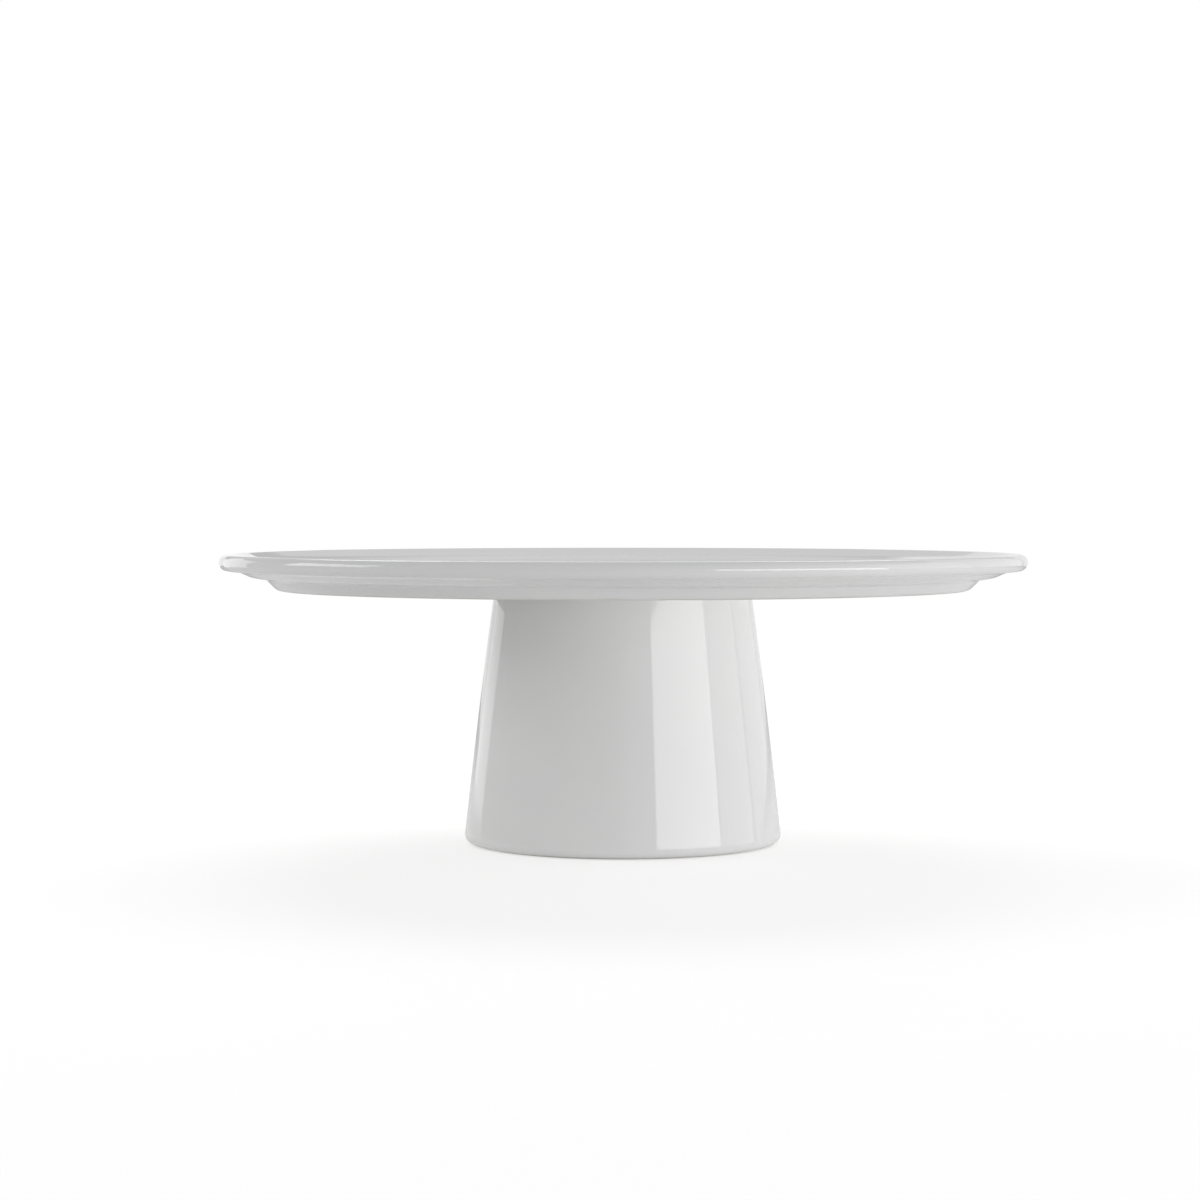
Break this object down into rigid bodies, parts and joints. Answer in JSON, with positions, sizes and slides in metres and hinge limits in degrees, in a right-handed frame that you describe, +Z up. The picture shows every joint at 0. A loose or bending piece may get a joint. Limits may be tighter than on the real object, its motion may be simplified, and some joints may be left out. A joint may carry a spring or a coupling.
{
  "type": "cake stand",
  "caption": "Round white porcelain cake stand: a wide plate with a rounded rim and stepped foot, clamped by a hand screw to a hollow tapered pedestal.",
  "frame": {"origin": "centre of the foot, on the surface that the stand rests on", "axes": "+Z up along the pedestal's axis; the stand is round, so +X and +Y are free choices"},
  "size_m": [0.305, 0.305, 0.11],
  "materials": {
    "pedestal_glaze": "gloss",
    "plate_glaze": "gloss",
    "foot_silicone": "matte",
    "gasket_silicone": "matte",
    "bush_rubber": "matte",
    "washer_steel": "satin",
    "screw_steel": "satin",
    "knob_plastic": "satin",
    "insert_brass": "satin",
    "potting_epoxy": "satin"
  },
  "bodies": {
    "pedestal": {"pedestal": "pedestal_glaze", "foot_ring": "foot_silicone", "joint_gasket": "gasket_silicone", "deck_bush": "bush_rubber"},
    "washer": {"steel_washer": "washer_steel"},
    "screw": {"clamp_screw": "screw_steel", "screw_knob": "knob_plastic"},
    "plate": {"plate": "plate_glaze", "threaded_insert": "insert_brass", "insert_potting": "potting_epoxy"}
  },
  "joints": [
    {"name": "washer_drop", "type": "slide", "parent": "pedestal", "child": "washer", "axis": [0, 0, -1], "range_m": [0, 0.006]},
    {"name": "screw_turn", "type": "hinge", "parent": "washer", "child": "screw", "pos_m": [0, 0, 0.086], "axis": [0, 0, -1], "range_deg": [0, 2160]},
    {"name": "plate_lift", "type": "slide", "parent": "pedestal", "child": "plate", "axis": [0, 0, 1], "range_m": [0, 0.08]}
  ],
  "couplings": [
    {"joint": "washer_drop", "follows": "screw_turn", "m_per_rad": 0.00015915}
  ]
}
